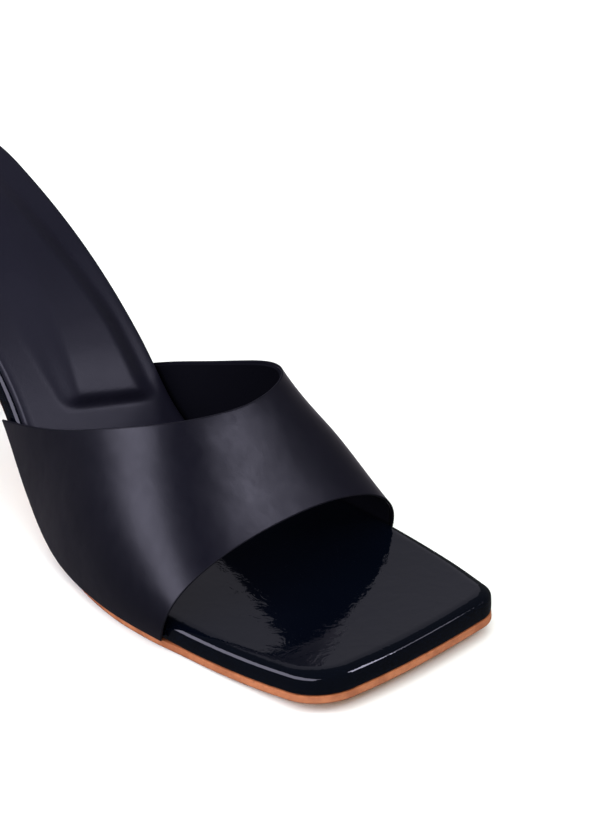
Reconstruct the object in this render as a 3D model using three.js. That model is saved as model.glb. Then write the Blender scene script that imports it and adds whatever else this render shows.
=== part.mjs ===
import * as THREE from 'three';

// A square-toe high-heeled mule for the right foot, in millimetres.
// +X points to the toe, +Y to the inner side of the foot and +Z up.
// The sole is laid out flat, by distance behind the toe and distance across, and is then bent to the shank.

// The last: its length, width, heel seat and toe
const SHOE_LENGTH = 222;
const BALL_WIDTH = 79;
const SEAT_HEIGHT = 79;
const SEAT_SLOPE = 21;
const SEAT_RUN = 108;
const ARCH_RUN = 62;
const TREAD_LENGTH = 31;
const TOE_REACH = 54.5;
const TOE_SPRING = 3.7;
const TOE_BOW = 1.2;
const OUTER_TOE_RADIUS = 11;
const INNER_TOE_RADIUS = 7;
const SEAT_ROUNDING = 27;
const SEAT_SQUARENESS = 2.4;

// The layers of the sole, from the ground up
const OUTSOLE_THICKNESS = 3;
const OUTSOLE_BEVEL = 0.5;
const OUTSOLE_INSET = 0.2;
const SHANK_FEATHER = 1.4;
const FOOTBED_THICKNESS = 6.4;
const FOOTBED_UNDERCUT = 0.6;
const RIM_RADIUS = 2.4;
const SOCK_THICKNESS = 1;
const SOCK_BORDER = 1.3;
const SOCK_FRONT = 72;

// The raised pad in the sock, under the arch and heel
const PAD_RISE = 1.8;
const PAD_FRONT = 147;
const PAD_HALF_WIDTH = 13.5;
const PAD_OFFSET = 3;
const PAD_EDGE = 6;
const PAD_FADE_LENGTH = 48;
const PAD_FADE_END = 5;

// The strap over the forefoot
const STRAP_WALL = 1.6;
const STRAP_EDGE_WALL = 1.1;
const VAMP_HEIGHT = 70;
const OUTER_BULGE = 4.6;
const INNER_BULGE = 3.4;

// The heel and its top piece
const SEAT_LENGTH = 50;
const HEEL_SKIRT = 1;
const TIP_SETBACK = 22;
const TIP_LENGTH = 15;
const TIP_WIDTH = 15;
const TIP_SQUARENESS = 5;
const HEEL_TAPER = 2.6;
const TOP_PIECE_HEIGHT = 5.5;
const TOP_PIECE_BEVEL = 0.4;

// Room between neighbouring pieces
const CLEARANCE = 0.3;

// Colours as in the photograph
const BLACK_LEATHER = { color: 0x16151a, roughness: 0.42, metalness: 0 };
const BLACK_PATENT = { color: 0x08080a, roughness: 0.08, metalness: 0 };
const BLACK_SOCK = { color: 0x1c1b22, roughness: 0.6, metalness: 0 };
const TAN_LEATHER = { color: 0xb3704a, roughness: 0.6, metalness: 0 };
const BLACK_RUBBER = { color: 0x121212, roughness: 0.8, metalness: 0 };

// The sole's outline: at is a share of the sole's curved length behind the toe, outer and inner are shares
// of the ball width, and feather is the share of the shank's feathering.
const OUTLINE = [
  { at: 0.00, outer: 0.405, inner: 0.408, feather: 0.0 },
  { at: 0.10, outer: 0.462, inner: 0.462, feather: 0.0 },
  { at: 0.20, outer: 0.490, inner: 0.500, feather: 0.0 },
  { at: 0.30, outer: 0.508, inner: 0.497, feather: 0.0 },
  { at: 0.40, outer: 0.468, inner: 0.420, feather: 0.6 },
  { at: 0.52, outer: 0.376, inner: 0.308, feather: 1.0 },
  { at: 0.64, outer: 0.316, inner: 0.308, feather: 1.0 },
  { at: 0.80, outer: 0.320, inner: 0.290, feather: 1.0 },
  { at: 1.00, outer: 0.320, inner: 0.296, feather: 1.0 },
];

// The foot's form under the strap: at is a share of the sole's length behind the toe, lean is the section's
// tilt to the toe in degrees, height is a share of the vamp height and crest is the crest's place across the
// foot from the outer side.
const FORM = [
  { at: 0.18, lean: -1, height: 0.31, crest: 0.51 },
  { at: 0.32, lean: 17, height: 0.67, crest: 0.53 },
  { at: 0.46, lean: 26, height: 1.00, crest: 0.56 },
  { at: 0.60, lean: 26, height: 0.97, crest: 0.58 },
];

// How full the form is on each side: rise is a share of the section's height, up from the sole's edge, and
// shoulder is a share of the way from the crest to the edge.
const FULLNESS = [
  { at: 0.18, outerRise: 0.64, outerShoulder: 0.63, innerRise: 0.59, innerShoulder: 0.56 },
  { at: 0.32, outerRise: 0.68, outerShoulder: 0.63, innerRise: 0.68, innerShoulder: 0.61 },
  { at: 0.46, outerRise: 0.72, outerShoulder: 0.62, innerRise: 0.77, innerShoulder: 0.63 },
  { at: 0.60, outerRise: 0.76, outerShoulder: 0.62, innerRise: 0.86, innerShoulder: 0.68 },
];

// The strap's two edges, as shares of the sole's length behind the toe, and how fast each sweeps to its ends
const STRAP_FRONT = { crest: 0.196, outer: 0.221, inner: 0.214, sweep: 2 };
const STRAP_REAR = { crest: 0.350, outer: 0.611, inner: 0.609, sweep: 1.8 };

// Fineness of the rounded parts
const SEAT_STEPS = 8;
const TOE_STEPS = 6;
const FRONT_STEPS = 3;
const RIM_STEPS = 4;
const FLANK_STEP = 7.5;
const SOCK_STEPS = 14;
const STRAP_STEPS_ROUND = 40;
const STRAP_STEPS_ALONG = 16;
const NUDGE = 0.002;
const HEEL_STEPS = 10;
const BREAST_STEPS = 3;
const TIP_POINTS = 28;

// A smooth curve through one column of a table
function slopeOf(rows, column, i) {
  const before = rows[Math.max(i - 1, 0)];
  const after = rows[Math.min(i + 1, rows.length - 1)];
  return (after[column] - before[column]) / (after.at - before.at);
}

function smooth(rows, column, at) {
  const beyond = rows.findIndex((row) => row.at > at);
  const i = beyond < 0 ? rows.length - 2 : Math.max(beyond - 1, 0);
  const [a, b] = [rows[i], rows[i + 1]];
  const span = b.at - a.at;
  const t = (at - a.at) / span;
  const leaving = slopeOf(rows, column, i) * span * t * (1 - t) ** 2;
  const arriving = slopeOf(rows, column, i + 1) * span * t ** 2 * (1 - t);
  return THREE.MathUtils.lerp(a[column], b[column], t * t * (3 - 2 * t)) + leaving - arriving;
}

// The underside of the sole in the XZ plane, from the heel back to the toe: shank, level tread, toe spring
function soleCurve() {
  const treadFront = SHOE_LENGTH - TOE_REACH;
  const treadRear = treadFront - TREAD_LENGTH;
  const slope = THREE.MathUtils.degToRad(SEAT_SLOPE);
  const back = new THREE.Vector2(0, SEAT_HEIGHT);
  const belowSeat = new THREE.Vector2(SEAT_RUN * Math.cos(slope), SEAT_HEIGHT - SEAT_RUN * Math.sin(slope));
  const belowArch = new THREE.Vector2(treadRear - ARCH_RUN, 0);
  const treadStart = new THREE.Vector2(treadRear, 0);
  const treadEnd = new THREE.Vector2(treadFront, 0);
  const belowToe = new THREE.Vector2(SHOE_LENGTH - TOE_REACH / 2, 0);
  const toe = new THREE.Vector2(SHOE_LENGTH, TOE_SPRING);
  const path = new THREE.CurvePath();
  path.add(new THREE.CubicBezierCurve(back, belowSeat, belowArch, treadStart));
  path.add(new THREE.LineCurve(treadStart, treadEnd));
  path.add(new THREE.QuadraticBezierCurve(treadEnd, belowToe, toe));
  return path;
}

const SOLE = soleCurve();
const SOLE_LENGTH = SOLE.getLength();
const TREAD_FRONT = SOLE.curves[2].getLength();
const TREAD_REAR = TREAD_FRONT + TREAD_LENGTH;
const BREAST = SOLE_LENGTH - SEAT_LENGTH;
const SEAT_START = SOLE_LENGTH - SEAT_ROUNDING;

// Bends a point of the flat layout: behind the toe, across and above the underside
function bend(behind, across, above) {
  const t = 1 - behind / SOLE_LENGTH;
  const point = SOLE.getPoint(t);
  const along = SOLE.getTangent(t);
  return new THREE.Vector3(point.x - along.y * above, across, point.y + along.x * above);
}

const bendLoop = (loop, above) => loop.map((p) => bend(p.x, p.y, above));

// The flat outline, one side at a time, as points (behind, distance out from the middle line)
const SIDES = {
  outer: { sign: -1, toeRadius: OUTER_TOE_RADIUS },
  inner: { sign: 1, toeRadius: INNER_TOE_RADIUS },
};

const halfWidth = (side, behind) => BALL_WIDTH * smooth(OUTLINE, side, behind / SOLE_LENGTH);

const evenly = (count) => Array.from({ length: count + 1 }, (_, i) => i / count);

// Places from one value up to, and without, another, about a step length apart
function steps(from, to, length) {
  const count = Math.max(1, Math.round(Math.abs(to - from) / length));
  return evenly(count).slice(0, -1).map((share) => THREE.MathUtils.lerp(from, to, share));
}

function seatRound(side) {
  const power = 2 / SEAT_SQUARENESS;
  return Array.from({ length: SEAT_STEPS }, (_, k) => {
    const angle = (Math.PI / 2) * (1 - (k + 0.5) / SEAT_STEPS);
    const behind = SEAT_START + SEAT_ROUNDING * Math.sin(angle) ** power;
    return new THREE.Vector2(behind, halfWidth(side, behind) * Math.cos(angle) ** power);
  });
}

function flank(side, ...limits) {
  const stations = limits.slice(1).flatMap((limit, i) => steps(limits[i], limit, FLANK_STEP));
  return stations.map((behind) => new THREE.Vector2(behind, halfWidth(side, behind)));
}

function toeRound(side) {
  const radius = SIDES[side].toeRadius;
  const corner = evenly(TOE_STEPS).map((share) => {
    const angle = (Math.PI / 2) * (1 - share);
    const behind = TOE_BOW + radius * (1 - Math.cos(angle));
    return new THREE.Vector2(behind, halfWidth(side, behind) - radius * (1 - Math.sin(angle)));
  });
  const end = corner.at(-1);
  const front = evenly(FRONT_STEPS).slice(1, -1).reverse()
    .map((share) => new THREE.Vector2(TOE_BOW * share * share, end.y * share));
  return [...corner, ...front];
}

const toeFlank = (side, rear) => [
  ...flank(side, ...rear, TREAD_REAR, TREAD_FRONT, TOE_BOW + SIDES[side].toeRadius),
  ...toeRound(side),
];

// A closed loop, counter-clockwise from above: the outer side to the front and the inner side back again.
// Points that stand at the same place from either end lie across from each other.
function closeLoop(sideLine) {
  const [outer, inner] = ['outer', 'inner'].map((side) => sideLine(side)
    .map((p) => new THREE.Vector2(p.x, p.y * SIDES[side].sign)));
  return [...outer, ...inner.reverse()];
}

// Moves each point of a loop inward, so that both edges at the point move by the inset
function shrink(loop, inset) {
  return loop.map((p, i) => {
    const arriving = p.clone().sub(loop.at(i - 1)).normalize();
    const leaving = loop[(i + 1) % loop.length].clone().sub(p).normalize();
    const miter = arriving.clone().add(leaving).multiplyScalar(inset(p) / (1 + arriving.dot(leaving)));
    return new THREE.Vector2(p.x + miter.y, p.y - miter.x);
  });
}

// A closed body through rings of equal count, with a ladder of strips over each end
function loft(rings) {
  const count = rings[0].length;
  const last = (rings.length - 1) * count;
  const index = [];
  const quad = (a, b, c, d) => index.push(a, b, c, a, c, d);
  for (let start = 0; start < last; start += count) {
    for (let i = 0; i < count; i += 1) {
      const j = (i + 1) % count;
      quad(start + i, start + j, start + count + j, start + count + i);
    }
  }
  for (let i = 0; i < count / 2 - 1; i += 1) {
    const across = count - 1 - i;
    quad(i, across, across - 1, i + 1);
    quad(last + i, last + i + 1, last + across - 1, last + across);
  }
  const geometry = new THREE.BufferGeometry();
  const positions = rings.flat().flatMap((p) => p.toArray());
  geometry.setAttribute('position', new THREE.Float32BufferAttribute(positions, 3));
  geometry.setIndex(index);
  geometry.computeVertexNormals();
  return geometry;
}

// Leather outsole: level under the ball, square at the heel breast and feathered along the shank
function outsole() {
  const outline = closeLoop((side) => toeFlank(side, [BREAST]));
  const feather = (p) => SHANK_FEATHER * smooth(OUTLINE, 'feather', p.x / SOLE_LENGTH);
  const ring = (inset, above) => bendLoop(shrink(outline, (p) => OUTSOLE_INSET + inset + feather(p)), above);
  return loft([
    ring(OUTSOLE_BEVEL, 0),
    ring(0, OUTSOLE_BEVEL),
    ring(0, OUTSOLE_THICKNESS - OUTSOLE_BEVEL / 2),
    ring(OUTSOLE_BEVEL / 2, OUTSOLE_THICKNESS),
  ]);
}

// Patent-covered footbed with a rounded rim
const FOOTBED_BASE = OUTSOLE_THICKNESS + CLEARANCE;
const FOOTBED_TOP = FOOTBED_BASE + FOOTBED_THICKNESS;

function footbed() {
  const outline = closeLoop((side) => [...seatRound(side), ...toeFlank(side, [SEAT_START, BREAST])]);
  const ring = (inset, above) => bendLoop(shrink(outline, () => inset), above);
  const rim = evenly(RIM_STEPS).map((share) => {
    const angle = (Math.PI / 2) * share;
    return ring(RIM_RADIUS * (1 - Math.cos(angle)), FOOTBED_TOP - RIM_RADIUS * (1 - Math.sin(angle)));
  });
  return loft([ring(FOOTBED_UNDERCUT, FOOTBED_BASE), ring(0, FOOTBED_BASE + FOOTBED_UNDERCUT), ...rim]);
}

// Matte sock from the heel to under the strap, with its raised pad
function padHeight(behind, across) {
  const { smoothstep } = THREE.MathUtils;
  const fadeEnd = SOLE_LENGTH - PAD_FADE_END;
  const along = smoothstep(behind, PAD_FRONT, PAD_FRONT + PAD_EDGE);
  const fade = 1 - smoothstep(behind, fadeEnd - PAD_FADE_LENGTH, fadeEnd);
  const middle = PAD_OFFSET * (SOLE_LENGTH - behind) / (SOLE_LENGTH - PAD_FRONT);
  const inside = PAD_HALF_WIDTH - Math.abs(across - middle);
  return PAD_RISE * along * fade * smoothstep(inside, -PAD_EDGE / 2, PAD_EDGE / 2);
}

function sock() {
  const base = FOOTBED_TOP + CLEARANCE;
  const sideLine = (side) => [...seatRound(side), ...flank(side, SEAT_START, BREAST, TREAD_REAR, SOCK_FRONT)];
  const outline = shrink(closeLoop(sideLine), () => SOCK_BORDER);
  const rings = Array.from({ length: outline.length / 2 }, (_, i) => {
    const [outer, inner] = [outline[i], outline.at(-1 - i)];
    const across = evenly(SOCK_STEPS).map((share) => outer.clone().lerp(inner, share));
    const top = across.map((p, k) => {
      const edge = k === 0 || k === SOCK_STEPS ? SOCK_THICKNESS / 2 : SOCK_THICKNESS;
      return bend(p.x, p.y, base + edge + padHeight(p.x, p.y));
    });
    return [...bendLoop(across, base), ...top.reverse()];
  });
  return loft(rings);
}

// The foot's form: share runs over the foot from the outer base at 0, by the crest at 0.5, to the inner at 1
function formSection(behind) {
  const at = behind / SOLE_LENGTH;
  const proud = STRAP_WALL + CLEARANCE;
  const outer = bend(behind, -halfWidth('outer', behind) - proud, FOOTBED_BASE);
  const inner = bend(behind, halfWidth('inner', behind) + proud, FOOTBED_BASE);
  const lean = THREE.MathUtils.degToRad(smooth(FORM, 'lean', at));
  const height = VAMP_HEIGHT * smooth(FORM, 'height', at);
  const up = new THREE.Vector3(Math.sin(lean), 0, Math.cos(lean)).multiplyScalar(height);
  const crest = outer.clone().lerp(inner, smooth(FORM, 'crest', at)).add(up);
  const half = (base, side, bulge) => {
    const rise = base.clone().addScaledVector(up, smooth(FULLNESS, `${side}Rise`, at)).setY(base.y + bulge);
    const overBase = base.clone().add(up);
    const shoulder = crest.clone().lerp(overBase, smooth(FULLNESS, `${side}Shoulder`, at));
    return [base, rise, shoulder, crest];
  };
  return {
    outer: new THREE.CubicBezierCurve3(...half(outer, 'outer', -OUTER_BULGE)),
    inner: new THREE.CubicBezierCurve3(...half(inner, 'inner', INNER_BULGE)),
  };
}

function footForm(behind, share) {
  const section = formSection(behind);
  return share < 0.5 ? section.outer.getPoint(share * 2) : section.inner.getPoint(2 - share * 2);
}

function formNormal(behind, share) {
  const low = Math.max(share - NUDGE, 0);
  const round = footForm(behind, Math.min(low + 2 * NUDGE, 1)).sub(footForm(behind, low));
  const back = footForm(behind + 1, share).sub(footForm(behind - 1, share));
  return round.cross(back).normalize();
}

// One wide strap: a band of the foot's form between its two edges, with a wall of leather
function strapEdge(edge, share) {
  const fromCrest = Math.abs(2 * share - 1) ** edge.sweep;
  const base = share < 0.5 ? edge.outer : edge.inner;
  return SOLE_LENGTH * THREE.MathUtils.lerp(edge.crest, base, fromCrest);
}

function strap() {
  const rings = evenly(STRAP_STEPS_ROUND).map((share) => {
    const rear = strapEdge(STRAP_REAR, share);
    const front = strapEdge(STRAP_FRONT, share);
    const behinds = evenly(STRAP_STEPS_ALONG).map((t) => THREE.MathUtils.lerp(rear, front, t));
    const outside = behinds.map((behind) => footForm(behind, share));
    const inside = behinds.map((behind, i) => {
      const wall = i === 0 || i === STRAP_STEPS_ALONG ? STRAP_EDGE_WALL : STRAP_WALL;
      return outside[i].clone().addScaledVector(formNormal(behind, share), -wall);
    });
    return [...outside, ...inside.reverse()];
  });
  return loft(rings);
}

// Top piece and heel: the heel spreads from the top piece up to the seat and is cupped to it
function tipLoop(count, inset, height) {
  const squared = (value) => Math.sign(value) * Math.abs(value) ** (2 / TIP_SQUARENESS);
  return Array.from({ length: count }, (_, i) => {
    const angle = Math.PI + (2 * Math.PI * (i + 0.5)) / count;
    const x = TIP_SETBACK + (TIP_LENGTH / 2 - inset) * squared(Math.cos(angle));
    return new THREE.Vector3(x, (TIP_WIDTH / 2 - inset) * squared(Math.sin(angle)), height);
  });
}

function topPiece() {
  return loft([
    tipLoop(TIP_POINTS, TOP_PIECE_BEVEL, 0),
    tipLoop(TIP_POINTS, 0, TOP_PIECE_BEVEL),
    tipLoop(TIP_POINTS, 0, TOP_PIECE_HEIGHT),
  ]);
}

function heel() {
  const sideLine = (side) => {
    const line = [...seatRound(side), ...flank(side, SEAT_START, BREAST + CLEARANCE)];
    const breast = steps(halfWidth(side, BREAST), 0, halfWidth(side, BREAST) / BREAST_STEPS);
    return [...line, ...breast.map((across) => new THREE.Vector2(BREAST + CLEARANCE, across))];
  };
  const outline = closeLoop(sideLine);
  const seat = (inset, above) => bendLoop(shrink(outline, () => inset), above);
  const under = seat(0, -HEEL_SKIRT);
  const tip = tipLoop(under.length, 0, TOP_PIECE_HEIGHT + CLEARANCE);
  const rings = evenly(HEEL_STEPS).slice(0, -1).map((t) => {
    const spread = t ** HEEL_TAPER;
    return tip.map((p, i) => {
      const q = under[i];
      return new THREE.Vector3(
        THREE.MathUtils.lerp(p.x, q.x, spread),
        THREE.MathUtils.lerp(p.y, q.y, spread),
        THREE.MathUtils.lerp(p.z, q.z, t),
      );
    });
  });
  return loft([...rings, under, seat(FOOTBED_UNDERCUT, OUTSOLE_THICKNESS)]);
}

// The assembly, with the middle of its footprint at the origin
function piece(name, geometry, finish) {
  const mesh = new THREE.Mesh(geometry, new THREE.MeshStandardMaterial(finish));
  mesh.name = name;
  return mesh;
}

const shoe = new THREE.Group();
shoe.add(piece('outsole', outsole(), TAN_LEATHER));
shoe.add(piece('footbed', footbed(), BLACK_PATENT));
shoe.add(piece('sock', sock(), BLACK_SOCK));
shoe.add(piece('strap', strap(), BLACK_LEATHER));
shoe.add(piece('heel', heel(), BLACK_LEATHER));
shoe.add(piece('top_piece', topPiece(), BLACK_RUBBER));

const middle = new THREE.Box3().setFromObject(shoe).getCenter(new THREE.Vector3());
shoe.position.set(-middle.x, -middle.y, 0);

export default shoe;
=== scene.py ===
"""A square-toe high-heeled mule for the right foot, dressed for its studio picture.

Lengths are in metres. +X points to the toe, +Y to the inner side of the foot and +Z up.
The layers of the sole are laid out flat, by distance behind the toe and distance across, and are then bent to
the shank.
"""

import math

import bpy
import numpy as np
from mathutils import Matrix, Vector


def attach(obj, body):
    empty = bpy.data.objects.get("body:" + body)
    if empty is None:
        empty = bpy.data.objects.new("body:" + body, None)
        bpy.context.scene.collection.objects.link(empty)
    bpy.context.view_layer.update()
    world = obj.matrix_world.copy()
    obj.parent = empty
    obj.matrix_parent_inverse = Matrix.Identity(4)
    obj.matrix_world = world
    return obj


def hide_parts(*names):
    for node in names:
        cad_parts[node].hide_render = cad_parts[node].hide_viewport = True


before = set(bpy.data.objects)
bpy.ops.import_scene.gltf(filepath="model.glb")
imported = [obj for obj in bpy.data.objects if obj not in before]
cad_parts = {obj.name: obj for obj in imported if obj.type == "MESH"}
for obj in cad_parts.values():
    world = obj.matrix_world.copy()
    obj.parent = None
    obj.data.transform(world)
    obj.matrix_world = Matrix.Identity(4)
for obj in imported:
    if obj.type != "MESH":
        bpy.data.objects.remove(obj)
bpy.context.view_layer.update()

MM = 0.001

# The last: its length, width, heel seat and toe
SHOE_LENGTH = 222 * MM
BALL_WIDTH = 79 * MM
SEAT_HEIGHT = 79 * MM
SEAT_SLOPE = math.radians(21)
SEAT_RUN = 108 * MM
ARCH_RUN = 62 * MM
TREAD_LENGTH = 31 * MM
TOE_REACH = 54.5 * MM
TOE_SPRING = 3.9 * MM
TOE_BOW = 1.2 * MM
TOE_RADIUS = {"outer": 11.5 * MM, "inner": 6.8 * MM}
SIDE_SIGN = {"outer": -1, "inner": 1}
SEAT_ROUNDING = 27 * MM
SEAT_SQUARENESS = 2.4

# The layers of the sole, from the ground up
OUTSOLE_THICKNESS = 2.4 * MM
OUTSOLE_INSET = 0.2 * MM
OUTSOLE_ROUNDING = 0.7 * MM
OUTSOLE_TOP_BEVEL = 0.3 * MM
OUTSOLE_WELT = 0.5 * MM
WELT_START = (0.19, 0.24)
WELT_END = (0.45, 0.62)
UNDERSIDE_INSETS = (4 * MM, 1.6 * MM)
SHANK_FEATHER = 1.4 * MM
FOOTBED_THICKNESS = 6.2 * MM
FOOTBED_SWELL = 3.85 * MM
FOOTBED_TUCK = 0.4 * MM
FOOTBED_FOLD = 0.8 * MM
DOME_REACH = 4.3 * MM
SOCK_THICKNESS = 1 * MM
SOCK_BORDER = 1.3 * MM
SOCK_FRONT = 72 * MM
SOCK_TURN = 0.7 * MM
SOCK_LIFT = 0.02 * MM
CLEARANCE = 0.3 * MM
FOOTBED_BASE = OUTSOLE_THICKNESS + CLEARANCE

# The raised pad in the sock, under the arch and heel: its front end, how far that leans, how long its step
# is, which share of the height the step takes, and how far back the rest rises
PAD_FRONT = 144.5 * MM
PAD_LEAN = -0.25
PAD_STEP = 4.0 * MM
PAD_STEP_SHARE = 0.6
PAD_DOME = 17 * MM

# The pad's sections, in millimetres
PAD = np.array([
    # behind the toe, height, outer slope's low and high end, inner slope's high and low end
    (140, 3.6, -12.0, -6.5, 11.5, 19.5),
    (152, 3.6, -13.0, -5.0, 11.5, 19.5),
    (166, 3.5, -15.0, -1.5, 11.5, 19.5),
    (190, 2.7, -13.0, 3.0, 9.0, 17.0),
    (210, 2.0, -12.0, 4.0, 7.0, 15.5),
    (232, 0.8, -12.0, 2.0, 6.0, 14.0),
    (250, 0.0, -12.0, 2.0, 6.0, 14.0),
]) * MM

# The strap over the forefoot
STRAP_WALL = 1.4 * MM
STRAP_EDGE_WALL = 0.6 * MM
STRAP_GAP = 0.1 * MM
STRAP_FOOT = FOOTBED_BASE + 0.3 * MM
STRAP_INSET = 0.4 * MM
STRAP_EDGE_POWER = 8
LINING_INSET = 0.9 * MM
LINING_SUNK = 0.2 * MM
LINING_PROUD = 0.06 * MM
VAMP_HEIGHT = 70.6 * MM
BULGE = {"outer": 4.9 * MM, "inner": 2.7 * MM}

# The heel and its top piece
SEAT_LENGTH = 50 * MM
HEEL_SKIRT = 1 * MM
TIP_SETBACK = 22 * MM
TIP_LENGTH = 15 * MM
TIP_WIDTH = 15 * MM
TIP_SQUARENESS = 5
HEEL_TAPER = 2.6
TOP_PIECE_HEIGHT = 5.5 * MM
TOP_PIECE_BEVEL = 0.4 * MM

# The beads: the seam between footbed and outsole, and the dyed edges of the strap
BEAD_SIDES = 14
SEAM_RADIUS = 0.3 * MM
SEAM_INSET = 1.1 * MM
EDGE_BEAD_RADIUS = STRAP_EDGE_WALL / 2 + 0.02 * MM

# How finely the forms are cut
STRAP_ROUND_COUNT = 260
STRAP_ALONG_COUNT = 80
LINING_ALONG_COUNT = 60
FLANK_COUNT = 130
SEAT_COUNT = 60

# The sole's outline: places are shares of the sole's length behind the toe, half widths are shares of the
# ball width, and feather is the share of the shank's feathering
OUTLINE = np.array([
    # place, outer, inner, feather
    (0.00, 0.397, 0.412, 0.0),
    (0.10, 0.453, 0.485, 0.0),
    (0.20, 0.490, 0.515, 0.0),
    (0.30, 0.508, 0.505, 0.0),
    (0.40, 0.468, 0.418, 0.6),
    (0.52, 0.376, 0.322, 1.0),
    (0.64, 0.316, 0.320, 1.0),
    (0.80, 0.320, 0.312, 1.0),
    (1.00, 0.320, 0.286, 1.0),
])
OUTLINE_COLUMN = {"outer": 1, "inner": 2, "feather": 3}

# The foot's form under the strap: lean is in degrees, height is a share of the vamp height, and crest is the
# crest's place across
FORM = np.array([
    # place, lean, height, crest, outer rise, outer shoulder, inner rise, inner shoulder
    (0.18, -1, 0.31, 0.51, 0.64, 0.63, 0.59, 0.56),
    (0.32, 17, 0.67, 0.53, 0.68, 0.63, 0.68, 0.61),
    (0.46, 26, 1.00, 0.56, 0.72, 0.62, 0.76, 0.62),
    (0.60, 26, 0.97, 0.58, 0.76, 0.62, 0.86, 0.68),
])
FORM_COLUMN = {
    "lean": 1,
    "height": 2,
    "crest": 3,
    "outer rise": 4,
    "outer shoulder": 5,
    "inner rise": 6,
    "inner shoulder": 7,
}

# The strap's two edges, as shares of the sole's length behind the toe, and how fast each sweeps to its ends
STRAP_FRONT = {"crest": 0.196, "outer": 0.221, "inner": 0.214, "sweep": 2}
STRAP_REAR = {"crest": 0.350, "outer": 0.611, "inner": 0.609, "sweep": 1.8}


# A smooth curve through one column of a table
def smooth(rows, column, at):
    places, values = rows[:, 0], rows[:, column]
    i = np.clip(np.searchsorted(places, at, side="right") - 1, 0, len(rows) - 2)
    before, after = np.arange(len(rows)) - 1, np.arange(len(rows)) + 1
    before, after = np.maximum(before, 0), np.minimum(after, len(rows) - 1)
    slopes = (values[after] - values[before]) / (places[after] - places[before])
    span = places[i + 1] - places[i]
    t = (at - places[i]) / span
    leaving = slopes[i] * span * t * (1 - t) ** 2
    arriving = slopes[i + 1] * span * t**2 * (1 - t)
    return values[i] + (values[i + 1] - values[i]) * t * t * (3 - 2 * t) + leaving - arriving


def smoothstep(value, low, high):
    t = np.clip((value - low) / (high - low), 0, 1)
    return t * t * (3 - 2 * t)


# The underside of the sole in the XZ plane, from the heel back to the toe, as closely spaced points
def sole_curve():
    tread_front = SHOE_LENGTH - TOE_REACH
    tread_rear = tread_front - TREAD_LENGTH
    below_seat = (SEAT_RUN * math.cos(SEAT_SLOPE), SEAT_HEIGHT - SEAT_RUN * math.sin(SEAT_SLOPE))
    shank = np.array([(0, SEAT_HEIGHT), below_seat, (tread_rear - ARCH_RUN, 0), (tread_rear, 0)])
    toe = np.array([(tread_front, 0), (SHOE_LENGTH - TOE_REACH / 2, 0), (SHOE_LENGTH, TOE_SPRING)])
    t = np.linspace(0, 1, 600)[:, None]
    shank_points = ((1 - t) ** 3 * shank[0] + 3 * (1 - t) ** 2 * t * shank[1] + 3 * (1 - t) * t**2 * shank[2]
                    + t**3 * shank[3])
    toe_points = (1 - t) ** 2 * toe[0] + 2 * (1 - t) * t * toe[1] + t**2 * toe[2]
    return np.concatenate([shank_points, toe_points])


SOLE = sole_curve()
SOLE_RUN = np.concatenate([[0], np.cumsum(np.hypot(*np.diff(SOLE, axis=0).T))])
SOLE_LENGTH = SOLE_RUN[-1]
SOLE_SLOPE = np.gradient(SOLE, SOLE_RUN, axis=0)
BREAST = SOLE_LENGTH - SEAT_LENGTH
SEAT_START = SOLE_LENGTH - SEAT_ROUNDING


# The heel's back on the sole's curve, in the shared frame
HEEL_BACK = np.array([-110.673, 0.256, 0]) * MM


# Bends points of the flat layout: behind the toe, across and above the underside
def bend(behind, across, above):
    run = SOLE_LENGTH - np.asarray(behind, float)
    x, z = (np.interp(run, SOLE_RUN, SOLE[:, k]) for k in (0, 1))
    along_x, along_z = (np.interp(run, SOLE_RUN, SOLE_SLOPE[:, k]) for k in (0, 1))
    return np.stack([x - along_z * above, across + 0 * run, z + along_x * above], axis=-1) + HEEL_BACK


# The flat outline, one side at a time, as rows of (behind, distance out from the middle line)
def half_width(side, behind):
    return BALL_WIDTH * smooth(OUTLINE, OUTLINE_COLUMN[side], behind / SOLE_LENGTH)


def seat_round(side, count):
    power = 2 / SEAT_SQUARENESS
    angle = math.pi / 2 * (1 - (np.arange(count) + 0.5) / count)
    behind = SEAT_START + SEAT_ROUNDING * np.sin(angle) ** power
    return np.stack([behind, half_width(side, behind) * np.cos(angle) ** power], axis=-1)


def flank(side, start, end, count):
    behind = np.linspace(start, end, count, endpoint=False)
    return np.stack([behind, half_width(side, behind)], axis=-1)


def toe_round(side, corner_count, front_count):
    radius = TOE_RADIUS[side]
    angle = math.pi / 2 * (1 - np.linspace(0, 1, corner_count))
    behind = TOE_BOW + radius * (1 - np.cos(angle))
    corner = np.stack([behind, half_width(side, behind) - radius * (1 - np.sin(angle))], axis=-1)
    share = np.linspace(1, 0, front_count, endpoint=False)[1:]
    front = np.stack([TOE_BOW * share**2, corner[-1, 1] * share], axis=-1)
    return np.concatenate([corner, front])


def toe_flank(side, rear, count):
    return np.concatenate([flank(side, rear, TOE_BOW + TOE_RADIUS[side], count), toe_round(side, 24, 16)])


# A closed loop, counter-clockwise from above: the outer side to the front and the inner side back again
def close_loop(side_line):
    outer, inner = (side_line(side) * (1, SIDE_SIGN[side]) for side in SIDE_SIGN)
    return np.concatenate([outer, inner[::-1]])


# Moves each point of a loop inward, so that both edges at the point move by the inset
def shrink(loop, inset):
    arriving = loop - np.roll(loop, 1, axis=0)
    arriving /= np.linalg.norm(arriving, axis=1, keepdims=True)
    leaving = np.roll(arriving, -1, axis=0)
    miter = (arriving + leaving) / (1 + (arriving * leaving).sum(1, keepdims=True))
    return loop + np.stack([miter[:, 1], -miter[:, 0]], axis=-1) * np.reshape(inset, (-1, 1))


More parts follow.
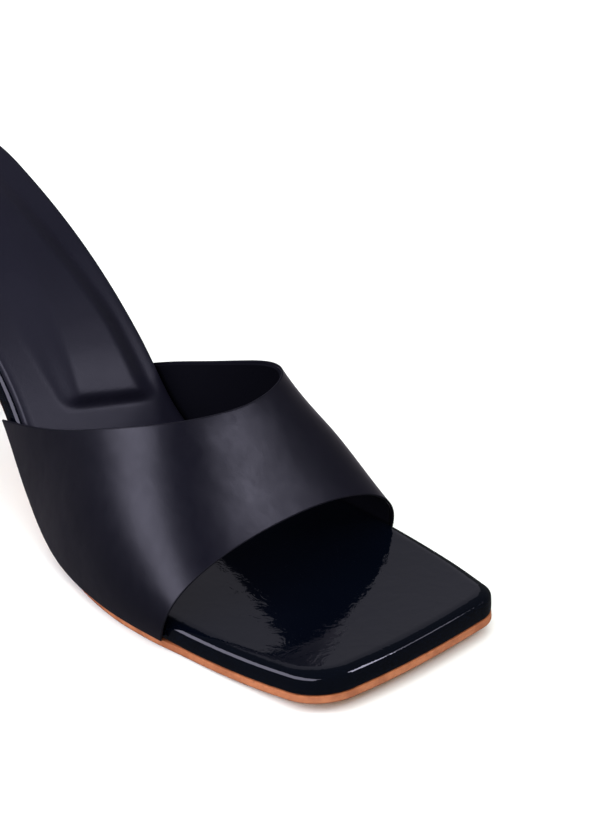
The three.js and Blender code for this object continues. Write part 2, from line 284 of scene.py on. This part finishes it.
# How far each point lies from a closed loop
def distance_to(loop, points):
    start, step = loop, np.roll(loop, -1, axis=0) - loop
    gap = points[..., None, :] - start
    share = np.clip((gap * step).sum(-1) / (step * step).sum(-1), 0, 1)
    return np.linalg.norm(gap - share[..., None] * step, axis=-1).min(-1)


# A mesh object from rings of points, closed round and over both ends with a ladder of strips
def lofted(name, rings, **attributes):
    rings = np.asarray(rings)
    levels, count = rings.shape[:2]
    a = np.arange(count)
    b = np.roll(a, -1)
    last = (levels - 1) * count
    walls = [np.stack([k + a, k + b, k + count + b, k + count + a], axis=-1) for k in range(0, last, count)]
    i = np.arange(count // 2 - 1)
    j = count - 1 - i
    low = np.stack([i, j, j - 1, i + 1], axis=-1)
    high = last + np.stack([i, i + 1, j - 1, j], axis=-1)
    faces = np.concatenate([*walls, low, high])
    return mesh_object(name, rings.reshape(-1, 3), faces, **attributes)


SMOOTH_ANGLE = math.radians(38)


def mesh_object(name, points, faces, **attributes):
    mesh = bpy.data.meshes.new(name)
    mesh.from_pydata(points.tolist(), [], faces.tolist())
    for title, values in attributes.items():
        attribute = mesh.attributes.new(title, "FLOAT", "POINT")
        attribute.data.foreach_set("value", np.ravel(values).astype(np.float32))
    mesh.shade_smooth()
    mesh.set_sharp_from_angle(angle=SMOOTH_ANGLE)
    made = bpy.data.objects.new(name, mesh)
    bpy.context.scene.collection.objects.link(made)
    return made


# Leather outsole: rounded below, square at the heel breast and feathered along the shank
def outsole():
    outline = close_loop(lambda side: toe_flank(side, BREAST, 120))
    feather = SHANK_FEATHER * smooth(OUTLINE, OUTLINE_COLUMN["feather"], outline[:, 0] / SOLE_LENGTH)
    place = outline[:, 0] / SOLE_LENGTH
    welt = OUTSOLE_WELT * smoothstep(place, *WELT_START) * (1 - smoothstep(place, *WELT_END))
    turn = np.linspace(0, math.pi / 2, 6)
    low = [(OUTSOLE_ROUNDING * (1 - math.sin(a)), OUTSOLE_ROUNDING * (1 - math.cos(a))) for a in turn]
    bevel_start = OUTSOLE_THICKNESS - OUTSOLE_TOP_BEVEL
    side = [(0, above) for above in np.linspace(OUTSOLE_ROUNDING, bevel_start, 5)[1:]]
    high = [
        (OUTSOLE_TOP_BEVEL / 6, OUTSOLE_THICKNESS - OUTSOLE_TOP_BEVEL / 3),
        (OUTSOLE_TOP_BEVEL, OUTSOLE_THICKNESS),
    ]
    under = [(inset, 0) for inset in UNDERSIDE_INSETS]
    profile = [*under, *low, *side, *high]
    rings, rises = [], []
    for inset, above in profile:
        loop = shrink(outline, OUTSOLE_INSET + inset + feather - welt)
        rings.append(bend(loop[:, 0], loop[:, 1], above))
        rises.append(np.full(len(loop), above / OUTSOLE_THICKNESS))
    return lofted("outsole_leather", rings, rise=rises)


# Patent-covered footbed: tucked under at the foot, swelling to its widest and domed over to the top
def footbed_outline():
    return close_loop(lambda side: np.concatenate([
        seat_round(side, SEAT_COUNT),
        flank(side, SEAT_START, BREAST, 12),
        toe_flank(side, BREAST, FLANK_COUNT),
    ]))


def dome_height(inset):
    share = 1 - np.clip(inset / DOME_REACH, 0, 1)
    return FOOTBED_BASE + FOOTBED_SWELL + (FOOTBED_THICKNESS - FOOTBED_SWELL) * np.sqrt(1 - share**2)


def footbed():
    outline = footbed_outline()
    turn = np.linspace(0, math.pi / 2, 14)
    tuck = [(FOOTBED_TUCK * (1 - math.sin(a)), FOOTBED_BASE + FOOTBED_SWELL * (1 - math.cos(a)))
            for a in turn]
    dome_insets = [DOME_REACH * (1 - math.cos(a)) for a in np.linspace(0, math.pi / 2, 30)[1:]]
    dome = [(inset, dome_height(inset)) for inset in dome_insets]
    rings = []
    for inset, above in [(FOOTBED_TUCK + FOOTBED_FOLD, FOOTBED_BASE), *tuck, *dome]:
        loop = shrink(outline, inset)
        rings.append(bend(loop[:, 0], loop[:, 1], above))
    return lofted("footbed_patent", rings)


# Matte sock from the heel to under the strap, with its raised pad
def pad_height(behind, across):
    front = PAD_FRONT + PAD_LEAN * across
    height, outer_low, outer_high, inner_high, inner_low = (
        np.interp(behind, PAD[:, 0], PAD[:, k]) for k in range(1, PAD.shape[1]))
    step = smoothstep(behind, front - PAD_STEP / 2, front + PAD_STEP / 2)
    dome = 1 - (1 - np.clip((behind - front) / PAD_DOME, 0, 1)) ** 2
    front_rise = PAD_STEP_SHARE * step + (1 - PAD_STEP_SHARE) * dome
    outer = smoothstep(across, outer_low, outer_high)
    inner = 1 - smoothstep(across, inner_high, inner_low)
    return height * front_rise * outer * inner


def sock():
    outline = close_loop(lambda side: np.concatenate([
        seat_round(side, SEAT_COUNT), flank(side, SEAT_START, SOCK_FRONT, 150)]))
    edge = shrink(outline, SOCK_BORDER)
    half = len(edge) // 2
    share = (1 - np.cos(np.linspace(0, math.pi, 73)))[:, None] / 2
    outer, inner = edge[:half, None], edge[:half - 1:-1, None]
    flat = outer + (inner - outer) * share
    behind, across = flat[..., 0], flat[..., 1]
    under = dome_height(distance_to(footbed_outline(), flat)) + SOCK_LIFT
    turned = 1 - np.clip(distance_to(edge, flat) / SOCK_TURN, 0, 1)
    thick = (SOCK_THICKNESS + CLEARANCE) * np.sqrt(1 - turned**2)
    top = under + thick + pad_height(behind, across)
    low, high = bend(behind, across, under), bend(behind, across, top)
    rings = np.concatenate([low, high[:, ::-1]], axis=1)
    return lofted("sock_leather", rings)


# The foot's form: share runs over the foot from the outer base at 0, by the crest at 0.5, to the inner at 1
def foot_form(behind, share):
    at = behind / SOLE_LENGTH
    column = {name: smooth(FORM, k, at)[..., None] for name, k in FORM_COLUMN.items()}
    proud = STRAP_WALL + STRAP_GAP
    base = {side: bend(behind, sign * (half_width(side, behind) + proud), STRAP_FOOT)
            for side, sign in SIDE_SIGN.items()}
    lean = np.radians(column["lean"])
    up = np.concatenate([np.sin(lean), 0 * lean, np.cos(lean)], axis=-1) * VAMP_HEIGHT * column["height"]
    crest = base["outer"] + (base["inner"] - base["outer"]) * column["crest"] + up
    halves = []
    for side, t in (("outer", share * 2), ("inner", 2 - share * 2)):
        start = base[side]
        rise = start + up * column[side + " rise"]
        rise[..., 1] = start[..., 1] + SIDE_SIGN[side] * BULGE[side]
        shoulder = crest + (start + up - crest) * column[side + " shoulder"]
        t = np.clip(t, 0, 1)[..., None]
        halves.append((1 - t) ** 3 * start + 3 * (1 - t) ** 2 * t * rise + 3 * (1 - t) * t**2 * shoulder
                      + t**3 * crest)
    return np.where(share[..., None] < 0.5, *halves)


def strap_edge(edge, share):
    base = np.where(share < 0.5, edge["outer"], edge["inner"])
    return SOLE_LENGTH * (edge["crest"] + (base - edge["crest"]) * np.abs(2 * share - 1) ** edge["sweep"])


# A band of the form between the strap's edges, pulled in from both edges, and its outward normals
def strap_band(round_count, along_count, inset):
    share = np.linspace(0, 1, round_count)[:, None] + np.zeros(along_count)
    rear, front = strap_edge(STRAP_REAR, share) - inset, strap_edge(STRAP_FRONT, share) + inset
    behind = rear + (front - rear) * np.linspace(0, 1, along_count)
    points = foot_form(behind, share)
    normals = np.cross(np.gradient(points, axis=1), np.gradient(points, axis=0))
    return points, normals / np.linalg.norm(normals, axis=-1, keepdims=True)


def strap():
    points, normals = strap_band(STRAP_ROUND_COUNT, STRAP_ALONG_COUNT, STRAP_INSET)
    edge_share = np.abs(np.linspace(-1, 1, STRAP_ALONG_COUNT)) ** STRAP_EDGE_POWER
    wall = STRAP_WALL + (STRAP_EDGE_WALL - STRAP_WALL) * edge_share
    inside = points - normals * wall[:, None]
    return lofted("strap_leather", np.concatenate([points, inside[:, ::-1]], axis=1))


def strap_lining():
    points, normals = strap_band(STRAP_ROUND_COUNT, LINING_ALONG_COUNT, LINING_INSET)
    low = points - normals * (STRAP_EDGE_WALL - LINING_SUNK)
    high = points - normals * (STRAP_WALL + LINING_PROUD)
    return lofted("strap_lining", np.concatenate([low, high[:, ::-1]], axis=1))


# Top piece and heel: the heel spreads from the top piece up to the seat and is cupped to it
def tip_loop(count, inset, height):
    def squared(value):
        return np.sign(value) * np.abs(value) ** (2 / TIP_SQUARENESS)
    angle = math.pi + 2 * math.pi * (np.arange(count) + 0.5) / count
    x = TIP_SETBACK + (TIP_LENGTH / 2 - inset) * squared(np.cos(angle))
    y = (TIP_WIDTH / 2 - inset) * squared(np.sin(angle))
    return np.stack([x, y, np.full(count, height)], axis=-1) + HEEL_BACK


def top_piece():
    profile = [
        # inset, height
        (2 * MM, 0),
        (TOP_PIECE_BEVEL, 0),
        (0.12 * MM, 0.12 * MM),
        (0, TOP_PIECE_BEVEL),
        (0, TOP_PIECE_HEIGHT - 0.15 * MM),
        (0.15 * MM, TOP_PIECE_HEIGHT),
    ]
    return lofted("top_piece_rubber", [tip_loop(160, *step) for step in profile])


def heel():
    def side_line(side):
        breast = BREAST + CLEARANCE
        across = np.linspace(half_width(side, BREAST), 0, 24, endpoint=False)
        return np.concatenate([seat_round(side, 64), flank(side, SEAT_START, breast, 24),
                               np.stack([np.full(24, breast), across], axis=-1)])
    outline = close_loop(side_line)
    for _ in range(6):
        outline = (np.roll(outline, 1, axis=0) + 2 * outline + np.roll(outline, -1, axis=0)) / 4

    def seat(inset, above):
        loop = shrink(outline, inset)
        return bend(loop[:, 0], loop[:, 1], above)
    under = seat(0, -HEEL_SKIRT)
    tip = tip_loop(len(under), 0, TOP_PIECE_HEIGHT + CLEARANCE)
    rings = [tip_loop(len(under), 0.25 * MM, TOP_PIECE_HEIGHT + CLEARANCE / 2)]
    for t in np.linspace(0, 1, 60, endpoint=False):
        ring = tip + (under - tip) * t**HEEL_TAPER
        ring[:, 2] = tip[:, 2] + (under - tip)[:, 2] * t
        rings.append(ring)
    rings += [under, seat(0, FOOTBED_BASE - 0.5 * MM), seat(0.1 * MM, FOOTBED_BASE - 0.15 * MM),
              seat(0.5 * MM, FOOTBED_BASE - 0.02 * MM)]
    return lofted("heel_cover", rings)


# A bead of constant thickness along the edges of a mesh line
def bead_tree():
    tree = bpy.data.node_groups.new("bead along a line", "GeometryNodeTree")
    sockets = tree.interface
    sockets.new_socket("Line", in_out="INPUT", socket_type="NodeSocketGeometry")
    radius = sockets.new_socket("Radius", in_out="INPUT", socket_type="NodeSocketFloat")
    finish = sockets.new_socket("Finish", in_out="INPUT", socket_type="NodeSocketMaterial")
    sockets.new_socket("Bead", in_out="OUTPUT", socket_type="NodeSocketGeometry")
    start = tree.nodes.new("NodeGroupInput")
    line = tree.nodes.new("GeometryNodeMeshToCurve")
    ring = tree.nodes.new("GeometryNodeCurvePrimitiveCircle")
    ring.inputs["Resolution"].default_value = BEAD_SIDES
    sweep = tree.nodes.new("GeometryNodeCurveToMesh")
    sweep.inputs["Fill Caps"].default_value = True
    solid = tree.nodes.new("GeometryNodeRealizeInstances")
    painted = tree.nodes.new("GeometryNodeSetMaterial")
    end = tree.nodes.new("NodeGroupOutput")
    for source, target in (
        (start.outputs["Line"], line.inputs["Mesh"]),
        (line.outputs["Curve"], sweep.inputs["Curve"]),
        (start.outputs["Radius"], ring.inputs["Radius"]),
        (ring.outputs["Curve"], sweep.inputs["Profile Curve"]),
        (sweep.outputs["Mesh"], solid.inputs["Geometry"]),
        (solid.outputs["Geometry"], painted.inputs["Geometry"]),
        (start.outputs["Finish"], painted.inputs["Material"]),
        (painted.outputs["Geometry"], end.inputs["Bead"]),
    ):
        tree.links.new(source, target)
    return tree, radius.identifier, finish.identifier


def beads(name, lines, radius, finish):
    points = np.concatenate([line for line, closed in lines])
    edges, first = [], 0
    for line, closed in lines:
        own = np.arange(first, first + len(line))
        edges += list(zip(own[:-1].tolist(), own[1:].tolist()))
        if closed:
            edges.append((int(own[-1]), int(own[0])))
        first += len(line)
    mesh = bpy.data.meshes.new(name + "_line")
    mesh.from_pydata(points.tolist(), edges, [])
    path = bpy.data.objects.new(name + "_line", mesh)
    bpy.context.scene.collection.objects.link(path)
    tree, radius_socket, finish_socket = bead_tree()
    swept = path.modifiers.new("bead", "NODES")
    swept.node_group = tree
    swept[radius_socket] = radius
    swept[finish_socket] = finish
    evaluated = path.evaluated_get(bpy.context.evaluated_depsgraph_get())
    solid = bpy.data.meshes.new_from_object(evaluated)
    solid.name = name
    solid.shade_smooth()
    made = bpy.data.objects.new(name, solid)
    bpy.context.scene.collection.objects.link(made)
    bpy.data.objects.remove(path)
    return made


# A shader socket that takes part in sums: each operation adds its Math node
class Value:
    def __init__(self, tree, socket=None):
        self.tree, self.socket = tree, socket

    def node(self, kind, settings=None, inputs=None, output=0):
        made = self.tree.nodes.new(kind)
        for title, setting in (settings or {}).items():
            if title == "stops":
                set_stops(made.color_ramp, setting)
            else:
                setattr(made, title, setting)
        for title, value in (inputs or {}).items():
            if isinstance(value, Value):
                self.tree.links.new(value.socket, made.inputs[title])
            else:
                made.inputs[title].default_value = value
        return Value(self.tree, made.outputs[output])

    def math(self, operation, first, second):
        return self.node("ShaderNodeMath", {"operation": operation}, {0: first, 1: second})

    def __add__(self, other):
        return self.math("ADD", self, other)

    def __sub__(self, other):
        return self.math("SUBTRACT", self, other)

    def __rsub__(self, other):
        return self.math("SUBTRACT", other, self)

    def __mul__(self, other):
        return self.math("MULTIPLY", self, other)

    __radd__, __rmul__ = __add__, __mul__

    def above(self, low, high):
        return self.node("ShaderNodeMapRange", {"interpolation_type": "SMOOTHSTEP"},
                         {"Value": self, "From Min": low, "From Max": high})

    def between(self, low, high):
        return self.node("ShaderNodeMapRange", {}, {"Value": self, "To Min": low, "To Max": high})


def set_stops(ramp, stops):
    ramp.elements[0].position, ramp.elements[0].color = stops[0]
    ramp.elements[1].position, ramp.elements[1].color = stops[-1]
    for place, colour in stops[1:-1]:
        ramp.elements.new(place).color = colour


def noise(place, scale, detail=2.0, roughness=0.5, distortion=0.0):
    return place.node("ShaderNodeTexNoise", {}, {
        "Vector": place, "Scale": scale, "Detail": detail, "Roughness": roughness, "Distortion": distortion})


def cells(place, scale):
    return place.node("ShaderNodeTexVoronoi", {"feature": "SMOOTH_F1"}, {
        "Vector": place, "Scale": scale, "Smoothness": 0.6})


def mix_colours(mask, first, second):
    return mask.node("ShaderNodeMix", {"data_type": "RGBA"}, {0: mask, 6: first, 7: second}, output=2)


def stretched(place, scale):
    return place.node("ShaderNodeMapping", {}, {"Vector": place, "Scale": scale})


# A material from its fixed sockets and from a function that gives what changes over the surface
def material(name, fixed, varied):
    made = bpy.data.materials.new(name)
    made.use_nodes = True
    tree = made.node_tree
    surface = tree.nodes["Principled BSDF"]
    for title, value in fixed.items():
        surface.inputs[title].default_value = value
    place = Value(tree).node("ShaderNodeTexCoord", output=3)
    for title, value in varied(place).items():
        tree.links.new(value.socket, surface.inputs[title])
    return made


def relief(height, depth, strength=1.0):
    return height.node("ShaderNodeBump", {}, {"Height": height, "Distance": depth, "Strength": strength})


# Smooth satin leather: fine even grain, and faint clouds and rubbed marks in its wax finish
def satin_leather(place):
    grain = cells(place, 1900.0) * 0.5 + noise(place, 3800.0, 3.0)
    clouds = noise(place, 55.0, 3.0, 0.55)
    rubbed = noise(stretched(place, (260.0, 260.0, 110.0)), 1.0, 4.0, 0.65, 0.8)
    waves = noise(place, 70.0, 2.0)
    return {
        "Base Color": mix_colours(clouds, (0.0014, 0.0013, 0.0044, 1), (0.0023, 0.0021, 0.0062, 1)),
        "Roughness": clouds.between(0.33, 0.39) + rubbed.between(-0.09, 0.09) + noise(place, 2500.0) * 0.03,
        "Normal": relief(grain * 0.012 + waves * 0.35, 0.8 * MM),
    }


# Patent leather: a thick glossy film with a slow ripple and a faint orange peel
def patent_leather(place):
    ripple = noise(place, 190.0, 3.0, 0.6, 0.8)
    peel = noise(place, 900.0, 1.0)
    clouds = noise(place, 60.0)
    return {
        "Base Color": mix_colours(clouds, (0.0006, 0.0011, 0.0028, 1), (0.0009, 0.0016, 0.0038, 1)),
        "Roughness": noise(place, 120.0, 3.0).between(0.035, 0.07),
        "Normal": relief(ripple * 0.95 + peel * 0.05, 0.085 * MM),
    }


# Matte sock leather: soft fine grain with slow clouds
def sock_finish(place):
    grain = cells(place, 1500.0) * 0.6 + noise(place, 3000.0, 3.0)
    clouds = noise(place, 45.0, 3.0)
    return {
        "Base Color": mix_colours(clouds, (0.0048, 0.0046, 0.0096, 1), (0.0068, 0.0065, 0.0128, 1)),
        "Roughness": clouds.between(0.36, 0.43) + grain * 0.04,
        "Normal": relief(grain * 0.02 + clouds * 0.25, 0.8 * MM),
    }


# Lining leather: soft, dark and dull
def lining_finish(place):
    nap = noise(place, 2200.0, 3.0)
    return {
        "Base Color": mix_colours(nap, (0.0016, 0.0017, 0.0036, 1), (0.0030, 0.0031, 0.0056, 1)),
        "Roughness": nap.between(0.62, 0.76),
        "Normal": relief(nap, 0.04 * MM),
    }


# Sole leather: fibrous and mottled on the edge, smoother below, with painted shade darkening the foot of the
# edge toward the floor
def sole_leather(place):
    rise = place.node("ShaderNodeAttribute", {"attribute_name": "rise"}, output=2)
    fibres = noise(stretched(place, (160.0, 160.0, 2200.0)), 1.0, 4.0, 0.6)
    mottle = noise(place, 170.0, 5.0, 0.65)
    spots = noise(place, 900.0, 2.0).above(0.58, 0.72)
    # Painted shade: a mask over the lower part of the edge, nearest the floor
    painted_foot_shade = 1 - rise.above(0.02, 0.30)
    on_edge = rise.above(0.005, 0.02)
    edge_colour = mix_colours(mottle.above(0.3, 0.7), (0.31, 0.094, 0.034, 1), (0.47, 0.165, 0.064, 1))
    edge_colour = mix_colours(spots * 0.5, edge_colour, (0.24, 0.075, 0.03, 1))
    # The painted shade darkens the edge colour toward its foot, down to a near-black brown
    edge_colour = mix_colours(painted_foot_shade * 0.75, edge_colour, (0.10, 0.028, 0.014, 1))
    under_colour = mix_colours(mottle, (0.50, 0.25, 0.125, 1), (0.62, 0.34, 0.18, 1))
    return {
        "Base Color": mix_colours(on_edge, under_colour, edge_colour),
        "Roughness": fibres.between(0.42, 0.62),
        "Normal": relief(fibres * 0.6 + mottle * 0.4, 0.12 * MM),
    }


# Heel rubber: dull with a fine moulded tooth
def rubber_finish(place):
    tooth = noise(place, 2600.0, 3.0)
    return {
        "Base Color": mix_colours(noise(place, 90.0), (0.007, 0.007, 0.007, 1), (0.013, 0.013, 0.013, 1)),
        "Roughness": tooth.between(0.62, 0.85),
        "Normal": relief(tooth, 0.05 * MM),
    }


# Edge dye: a thin coat, a little glossier than the leather
def edge_finish(place):
    brushed = noise(place, 1400.0, 2.0)
    return {
        "Base Color": mix_colours(brushed, (0.0020, 0.0020, 0.0045, 1), (0.0038, 0.0036, 0.0070, 1)),
        "Roughness": brushed.between(0.46, 0.60),
        "Normal": relief(brushed, 0.03 * MM),
    }


BLUISH = (0.90, 0.92, 1.0, 1)
VIOLET = (1.0, 0.88, 1.0, 1)
SHEEN = {"Sheen Weight": 0.20, "Sheen Roughness": 0.28, "Sheen Tint": VIOLET}
SATIN = material("smooth_leather", {"IOR": 1.48, "Specular Tint": BLUISH, **SHEEN}, satin_leather)
PATENT = material("patent_leather", {"IOR": 1.52, "Specular Tint": BLUISH}, patent_leather)
SOCK = material("sock_leather", {"IOR": 1.50, "Specular Tint": BLUISH}, sock_finish)
DULL = {"IOR": 1.35, "Specular IOR Level": 0.2, "Specular Tint": BLUISH}
LINING = material("lining_leather", DULL, lining_finish)
TAN = material("tan_leather", {"IOR": 1.45}, sole_leather)
RUBBER = material("heel_rubber", {"IOR": 1.45}, rubber_finish)
EDGE = material("edge_dye", {"IOR": 1.40, "Specular Tint": BLUISH}, edge_finish)


def edge_lines():
    points, normals = strap_band(STRAP_ROUND_COUNT, 3, STRAP_INSET)
    middle = points - normals * STRAP_EDGE_WALL / 2
    return [(middle[:, 0], False), (middle[:, -1], False)]


def seam_line():
    loop = shrink(close_loop(lambda side: toe_flank(side, BREAST + 2 * MM, FLANK_COUNT)), SEAM_INSET)
    path = bend(loop[:, 0], loop[:, 1], OUTSOLE_THICKNESS + CLEARANCE / 2)
    return [(path, True)]


# Every piece: its finish, its slot name and the CAD nodes that it stands for
PIECES = [
    (outsole(), TAN, "tan_leather", ["outsole"]),
    (footbed(), PATENT, "patent_leather", ["footbed"]),
    (beads("footbed_seam", seam_line(), SEAM_RADIUS, EDGE), EDGE, "patent_leather", []),
    (sock(), SOCK, "sock_leather", ["sock"]),
    (strap(), SATIN, "smooth_leather", ["strap"]),
    (strap_lining(), LINING, "smooth_leather", []),
    (beads("strap_edges", edge_lines(), EDGE_BEAD_RADIUS, EDGE), EDGE, "smooth_leather", []),
    (heel(), SATIN, "smooth_leather", ["heel"]),
    (top_piece(), RUBBER, "heel_rubber", ["top_piece"]),
]
for piece, finish, slot, nodes in PIECES:
    if not piece.data.materials:
        piece.data.materials.append(finish)
    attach(piece, "root")
    if nodes:
        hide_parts(*nodes)

# The camera: where it looks, from which side, how far off, and where that point falls in the picture
FRAME_WIDTH, FRAME_HEIGHT = 600, 831
SENSOR = 36.0
TARGET = Vector((0.05133, 0.00026, 0.015))
TARGET_PIXEL = (262.2, 540.4)
AZIMUTH, ELEVATION = math.radians(43.3), math.radians(28.56)
ROLL = math.radians(0.82)
DISTANCE = 0.6974
PIXELS_PER_METRE = 3690.0


# A direction from the shoe: azimuth turns from +X to the outer side, elevation is above the floor
def toward(azimuth, elevation):
    level = Vector((math.cos(azimuth), -math.sin(azimuth), 0))
    return math.cos(elevation) * level + math.sin(elevation) * Vector((0, 0, 1))


def make_camera():
    back = toward(AZIMUTH, ELEVATION)
    level = Vector((0, 0, 1)).cross(back).normalized()
    upright = back.cross(level)
    right = math.cos(ROLL) * level + math.sin(ROLL) * upright
    up = math.cos(ROLL) * upright - math.sin(ROLL) * level
    off_right = (TARGET_PIXEL[0] - FRAME_WIDTH / 2) / PIXELS_PER_METRE
    off_down = (TARGET_PIXEL[1] - FRAME_HEIGHT / 2) / PIXELS_PER_METRE
    place = TARGET + back * DISTANCE - right * off_right + up * off_down
    lens = bpy.data.cameras.new("camera")
    lens.sensor_width = SENSOR
    lens.lens = SENSOR * PIXELS_PER_METRE * DISTANCE / FRAME_HEIGHT
    lens.clip_start, lens.clip_end = 0.01, 20.0
    camera = bpy.data.objects.new("camera", lens)
    camera.matrix_world = Matrix.Translation(place) @ Matrix((right, up, back)).transposed().to_4x4()
    bpy.context.scene.collection.objects.link(camera)
    bpy.context.scene.camera = camera


# The studio: a pale floor, dim surroundings, soft boxes beside and behind the shoe, and a soft lamp overhead
BOX_COLOUR = (1.0, 0.95, 1.12)
PLAIN_WHITE = (1, 1, 1)
SURROUNDINGS_STRENGTH = 0.06
FLOOR_REACH = 6.0
FLOOR_COLOUR = (0.88, 0.92, 0.87, 1)
LIGHTS = [
    # name, azimuth, elevation, distance, width, height, radiance, in reflections
    ("left_box", 96, 33, 1.0, 1.70, 0.60, 3.5, True),
    ("right_box", -32, 40, 1.0, 0.16, 0.32, 9.5, True),
    ("right_tail", -46, 37, 1.0, 0.32, 0.12, 2.6, True),
    ("back_panel", -146, 30, 1.6, 1.2, 1.10, 0.215, True),
    ("overhead", 0, 90, 3.0, 6.0, 6.0, 2.2, False),
]


def make_lights():
    for name, azimuth, elevation, distance, width, height, radiance, reflected in LIGHTS:
        lamp = bpy.data.lights.new(name, "AREA")
        lamp.shape = "RECTANGLE"
        lamp.size, lamp.size_y = width, height
        lamp.energy = radiance * math.pi * width * height
        lamp.color = BOX_COLOUR if reflected else PLAIN_WHITE
        holder = bpy.data.objects.new(name, lamp)
        away = toward(math.radians(azimuth), math.radians(elevation))
        holder.location = TARGET + away * distance
        holder.rotation_euler = away.to_track_quat("Z", "Y").to_euler()
        holder.visible_glossy = reflected
        holder.visible_camera = False
        bpy.context.scene.collection.objects.link(holder)


def make_surroundings():
    world = bpy.data.worlds.new("studio")
    world.use_nodes = True
    surroundings = world.node_tree.nodes["Background"]
    surroundings.inputs["Color"].default_value = (1, 1, 1, 1)
    surroundings.inputs["Strength"].default_value = SURROUNDINGS_STRENGTH
    bpy.context.scene.world = world
    mesh = bpy.data.meshes.new("floor")
    corners = [(x * FLOOR_REACH, y * FLOOR_REACH, 0) for x, y in ((-1, -1), (1, -1), (1, 1), (-1, 1))]
    mesh.from_pydata(corners, [], [(0, 1, 2, 3)])
    floor = bpy.data.objects.new("floor", mesh)
    paint = bpy.data.materials.new("floor_paint")
    paint.use_nodes = True
    surface = paint.node_tree.nodes["Principled BSDF"]
    surface.inputs["Base Color"].default_value = FLOOR_COLOUR
    surface.inputs["Roughness"].default_value = 0.9
    surface.inputs["Specular IOR Level"].default_value = 0.1
    mesh.materials.append(paint)
    bpy.context.scene.collection.objects.link(floor)
    floor.visible_glossy = False
    bpy.context.scene.view_settings.view_transform = "Standard"


make_camera()
make_lights()
make_surroundings()
